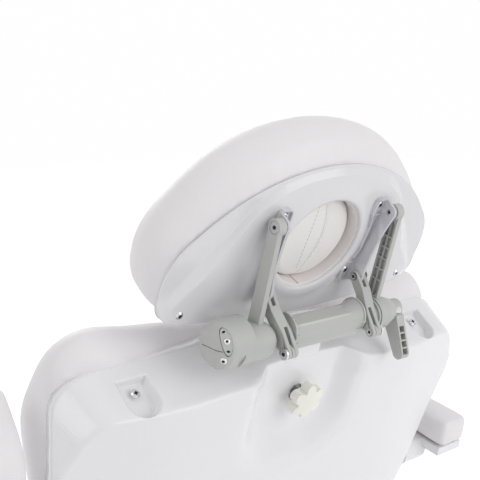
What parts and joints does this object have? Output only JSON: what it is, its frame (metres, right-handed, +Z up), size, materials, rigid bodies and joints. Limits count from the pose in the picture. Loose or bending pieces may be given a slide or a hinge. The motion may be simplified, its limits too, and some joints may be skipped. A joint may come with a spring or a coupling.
{
  "type": "beauty treatment chair",
  "caption": "Electric beauty treatment chair with lift column, reclining back, leg rest, fold-up armrests and a headrest on a clamped linkage, with a face hole and plug pillow.",
  "frame": {"origin": "on the floor under the middle of the lift column", "axes": "+Z up, -Y towards the feet, +X to the left of someone behind the chair"},
  "size_m": [0.836, 1.1297, 1.3836],
  "materials": {
    "white_upholstery": "soft satin",
    "white_shell": "gloss",
    "steel_frame": "powder coat",
    "column_tube": "brushed",
    "grey_casting": "satin",
    "slate_bracket": "satin",
    "ivory_knob": "satin",
    "bright_steel": "polished",
    "rubber_foot": "matte",
    "inlet_plastic": "matte"
  },
  "bodies": {
    "base": {"base_frame": "steel_frame", "foot_front_left": "rubber_foot", "foot_front_right": "rubber_foot", "foot_rear_left": "rubber_foot", "foot_rear_right": "rubber_foot", "column_outer": "steel_frame", "base_cover": "white_shell", "power_inlet": "inlet_plastic"},
    "seat": {"column_inner": "column_tube", "seat_frame": "steel_frame", "back_hinge_pin_left": "bright_steel", "back_hinge_pin_right": "bright_steel", "leg_hinge_pin_left": "bright_steel", "leg_hinge_pin_right": "bright_steel", "seat_shell": "white_shell", "seat_cushion": "white_upholstery"},
    "back": {"back_frame": "steel_frame", "armrest_bracket_left": "white_shell", "armrest_bracket_right": "white_shell", "armrest_pin_left": "bright_steel", "armrest_pin_right": "bright_steel", "stem_collar": "white_shell", "corner_screws": "bright_steel", "back_shell": "white_shell", "stem_sleeve": "steel_frame", "back_cushion": "white_upholstery"},
    "knob": {"star_knob": "ivory_knob", "knob_stud": "bright_steel"},
    "carrier": {"headrest_stem": "column_tube", "crossbar": "grey_casting", "hub_left": "grey_casting", "hub_right": "grey_casting", "lug_pin_left": "bright_steel", "lug_pin_right": "bright_steel"},
    "lever": {"clamp_lever": "grey_casting", "lever_screw": "bright_steel"},
    "arms": {"arm_left": "grey_casting", "arm_right": "grey_casting"},
    "links": {"link_left": "grey_casting", "link_right": "grey_casting"},
    "headrest": {"head_shell": "white_shell", "head_cushion": "white_upholstery", "hole_sleeve": "white_upholstery", "bracket_screws": "bright_steel", "shell_screws": "bright_steel", "bracket_left": "slate_bracket", "bracket_right": "slate_bracket", "upper_pin_left": "bright_steel", "upper_pin_right": "bright_steel", "lower_pin_left": "bright_steel", "lower_pin_right": "bright_steel"},
    "plug": {"face_plug": "white_upholstery"},
    "armrest_left": {"armrest_pad_left": "white_upholstery", "armrest_shell_left": "white_shell"},
    "armrest_right": {"armrest_pad_right": "white_upholstery", "armrest_shell_right": "white_shell"},
    "leg": {"leg_cushion": "white_upholstery", "leg_frame": "steel_frame", "leg_shell": "white_shell"}
  },
  "joints": [
    {"name": "lift", "type": "slide", "parent": "base", "child": "seat", "axis": [0, 0, 1], "range_m": [0, 0.22]},
    {"name": "back_recline", "type": "hinge", "parent": "seat", "child": "back", "pos_m": [0, 0.241, 0.564], "axis": [-1, 0, 0], "range_deg": [-5, 65]},
    {"name": "leg_lift", "type": "hinge", "parent": "seat", "child": "leg", "pos_m": [0, -0.29, 0.556], "axis": [-1, 0, 0], "range_deg": [-8, 60]},
    {"name": "knob_turn", "type": "hinge", "parent": "back", "child": "knob", "pos_m": [0, 0.46729, 1.03075], "axis": [0, 0.9397, -0.342], "continuous": true},
    {"name": "stem_slide", "type": "slide", "parent": "back", "child": "carrier", "axis": [0, 0.342, 0.9397], "range_m": [0, 0.08]},
    {"name": "lever_turn", "type": "hinge", "parent": "carrier", "child": "lever", "pos_m": [0, 0.49448, 1.12887], "axis": [1, 0, 0], "range_deg": [0, 110]},
    {"name": "arms_tilt", "type": "hinge", "parent": "carrier", "child": "arms", "pos_m": [0, 0.49448, 1.12887], "axis": [1, 0, 0], "range_deg": [-18, 6]},
    {"name": "headrest_tilt", "type": "hinge", "parent": "arms", "child": "headrest", "pos_m": [0, 0.52781, 1.26517], "axis": [1, 0, 0], "range_deg": [-4.1, 1.4]},
    {"name": "links_tilt", "type": "hinge", "parent": "carrier", "child": "links", "pos_m": [0, 0.52119, 1.11565], "axis": [1, 0, 0], "range_deg": [-9.5, 3.2]},
    {"name": "plug_slide", "type": "slide", "parent": "headrest", "child": "plug", "axis": [0, -0.8886, 0.4587], "range_m": [0, 0.09]},
    {"name": "armrest_left_fold", "type": "hinge", "parent": "back", "child": "armrest_left", "pos_m": [0, 0.36214, 0.82958], "axis": [1, 0, 0], "range_deg": [0, 80]},
    {"name": "armrest_right_fold", "type": "hinge", "parent": "back", "child": "armrest_right", "pos_m": [0, 0.36214, 0.82958], "axis": [-1, 0, 0], "range_deg": [0, 80]}
  ],
  "couplings": [
    {"joint": "headrest_tilt", "follows": "arms_tilt", "ratio": 0.2261},
    {"joint": "links_tilt", "follows": "arms_tilt", "ratio": 0.5256}
  ]
}
